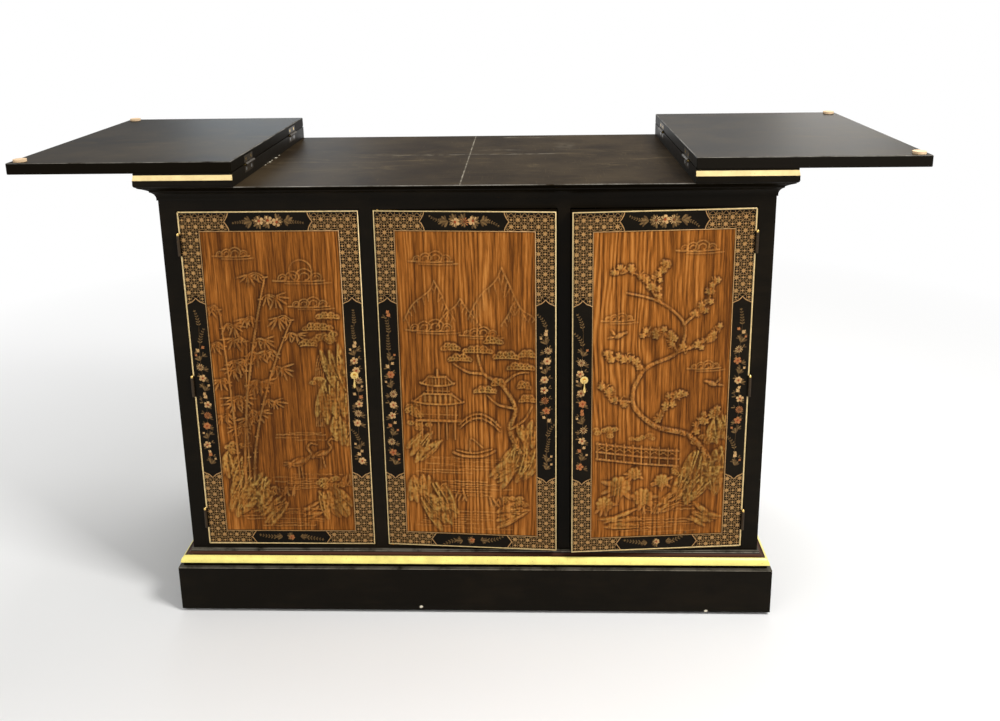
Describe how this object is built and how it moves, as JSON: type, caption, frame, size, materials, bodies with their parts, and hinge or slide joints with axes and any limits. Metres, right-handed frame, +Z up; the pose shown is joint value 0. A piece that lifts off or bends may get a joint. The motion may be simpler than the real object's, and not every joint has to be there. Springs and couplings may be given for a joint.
{
  "type": "rolling bar cabinet",
  "caption": "Low black lacquer bar cabinet on hidden casters: framed doors with inlaid wood panels, a sunken worktop and folding top leaves on brass banded raised ends.",
  "frame": {"origin": "middle of the width and depth of the standing cabinet, on the floor", "axes": "+X to the right along the front, +Y to the back, +Z up; the doors face -Y"},
  "size_m": [1.549, 0.5082, 0.8775],
  "materials": {
    "black_lacquer": "gloss lacquer",
    "worn_top_lacquer": "rubbed satin lacquer",
    "inner_wood": "matt dark paint",
    "panel_veneer": "satin varnish, gilt relief",
    "gold_leaf": "gilded, polished",
    "brass": "polished",
    "zinc_steel": "zinc plated",
    "caster_rubber": "matt",
    "felt": "felt"
  },
  "bodies": {
    "cabinet": {"left_side": "black_lacquer", "right_side": "black_lacquer", "back_panel": "black_lacquer", "end_stiles": "black_lacquer", "top_rail": "black_lacquer", "bottom_rail": "black_lacquer", "cornice_front": "black_lacquer", "cornice_returns": "black_lacquer", "base_moulding": "black_lacquer", "plinth_front": "black_lacquer", "plinth_back": "black_lacquer", "plinth_sides": "black_lacquer", "left_end_block": "black_lacquer", "right_end_block": "black_lacquer", "left_partition": "black_lacquer", "right_partition": "black_lacquer", "worktop": "worn_top_lacquer", "bottom_panel": "inner_wood", "sub_top": "inner_wood", "shelves": "inner_wood", "caster_rails": "inner_wood", "gilt_band": "gold_leaf", "brass_bands": "brass", "leaf_hinge_end_plates": "brass", "hinge_pins": "brass", "carcass_screws": "brass", "door_hinge_stile_plates": "brass", "knife_hinge_rail_plates": "brass", "shelf_pins": "brass", "ball_catches": "brass", "caster_plates": "zinc_steel"},
    "left_leaf": {"left_leaf": "worn_top_lacquer", "left_leaf_hinge_plates": "brass", "left_leaf_screws": "brass", "left_leaf_pads": "felt"},
    "right_leaf": {"right_leaf": "worn_top_lacquer", "right_leaf_hinge_plates": "brass", "right_leaf_screws": "brass", "right_leaf_pads": "felt"},
    "left_door": {"left_door": "black_lacquer", "left_door_panel": "panel_veneer", "left_door_hinge_plates": "brass", "left_pull_mount": "brass"},
    "middle_door": {"middle_door": "black_lacquer", "middle_door_panel": "panel_veneer", "knife_hinge_door_plates": "brass"},
    "right_door": {"right_door": "black_lacquer", "right_door_panel": "panel_veneer", "right_door_hinge_plates": "brass", "right_pull_mount": "brass"},
    "left_pull": {"left_pull_drop": "brass"},
    "right_pull": {"right_pull_drop": "brass"},
    "caster_front_left": {"caster_fork_front_left": "zinc_steel"},
    "wheel_front_left": {"caster_wheel_front_left": "caster_rubber"},
    "caster_front_right": {"caster_fork_front_right": "zinc_steel"},
    "wheel_front_right": {"caster_wheel_front_right": "caster_rubber"},
    "caster_back_left": {"caster_fork_back_left": "zinc_steel"},
    "wheel_back_left": {"caster_wheel_back_left": "caster_rubber"},
    "caster_back_right": {"caster_fork_back_right": "zinc_steel"},
    "wheel_back_right": {"caster_wheel_back_right": "caster_rubber"}
  },
  "joints": [
    {"name": "left_leaf_hinge", "type": "hinge", "parent": "cabinet", "child": "left_leaf", "pos_m": [-0.3875, 0, 0.85315], "axis": [0, 1, 0], "range_deg": [0, 180]},
    {"name": "right_leaf_hinge", "type": "hinge", "parent": "cabinet", "child": "right_leaf", "pos_m": [0.3875, 0, 0.85315], "axis": [0, -1, 0], "range_deg": [0, 180]},
    {"name": "left_door_hinge", "type": "hinge", "parent": "cabinet", "child": "left_door", "pos_m": [-0.50125, -0.228, 0.455], "axis": [0, 0, -1], "range_deg": [0, 165]},
    {"name": "middle_door_hinge", "type": "hinge", "parent": "cabinet", "child": "middle_door", "pos_m": [-0.1505, -0.221, 0.455], "axis": [0, 0, -1], "range_deg": [-3.3, 86.7]},
    {"name": "right_door_hinge", "type": "hinge", "parent": "cabinet", "child": "right_door", "pos_m": [0.50125, -0.228, 0.455], "axis": [0, 0, 1], "range_deg": [-4.2, 160.8]},
    {"name": "left_pull_swing", "type": "hinge", "parent": "left_door", "child": "left_pull", "pos_m": [-0.2055, -0.2293, 0.474], "axis": [-1, 0, 0], "range_deg": [-3, 95]},
    {"name": "right_pull_swing", "type": "hinge", "parent": "right_door", "child": "right_pull", "pos_m": [0.20639, -0.25096, 0.474], "axis": [-0.9973, -0.0732, 0], "range_deg": [-3, 95]},
    {"name": "caster_swivel_front_left", "type": "hinge", "parent": "cabinet", "child": "caster_front_left", "pos_m": [-0.44, -0.16, 0.0585], "axis": [0, 0, 1], "continuous": true},
    {"name": "wheel_spin_front_left", "type": "hinge", "parent": "caster_front_left", "child": "wheel_front_left", "pos_m": [-0.44, -0.142, 0.025], "axis": [1, 0, 0], "continuous": true},
    {"name": "caster_swivel_front_right", "type": "hinge", "parent": "cabinet", "child": "caster_front_right", "pos_m": [0.44, -0.16, 0.0585], "axis": [0, 0, 1], "continuous": true},
    {"name": "wheel_spin_front_right", "type": "hinge", "parent": "caster_front_right", "child": "wheel_front_right", "pos_m": [0.44, -0.142, 0.025], "axis": [1, 0, 0], "continuous": true},
    {"name": "caster_swivel_back_left", "type": "hinge", "parent": "cabinet", "child": "caster_back_left", "pos_m": [-0.44, 0.16, 0.0585], "axis": [0, 0, 1], "continuous": true},
    {"name": "wheel_spin_back_left", "type": "hinge", "parent": "caster_back_left", "child": "wheel_back_left", "pos_m": [-0.44, 0.178, 0.025], "axis": [1, 0, 0], "continuous": true},
    {"name": "caster_swivel_back_right", "type": "hinge", "parent": "cabinet", "child": "caster_back_right", "pos_m": [0.44, 0.16, 0.0585], "axis": [0, 0, 1], "continuous": true},
    {"name": "wheel_spin_back_right", "type": "hinge", "parent": "caster_back_right", "child": "wheel_back_right", "pos_m": [0.44, 0.178, 0.025], "axis": [1, 0, 0], "continuous": true}
  ]
}
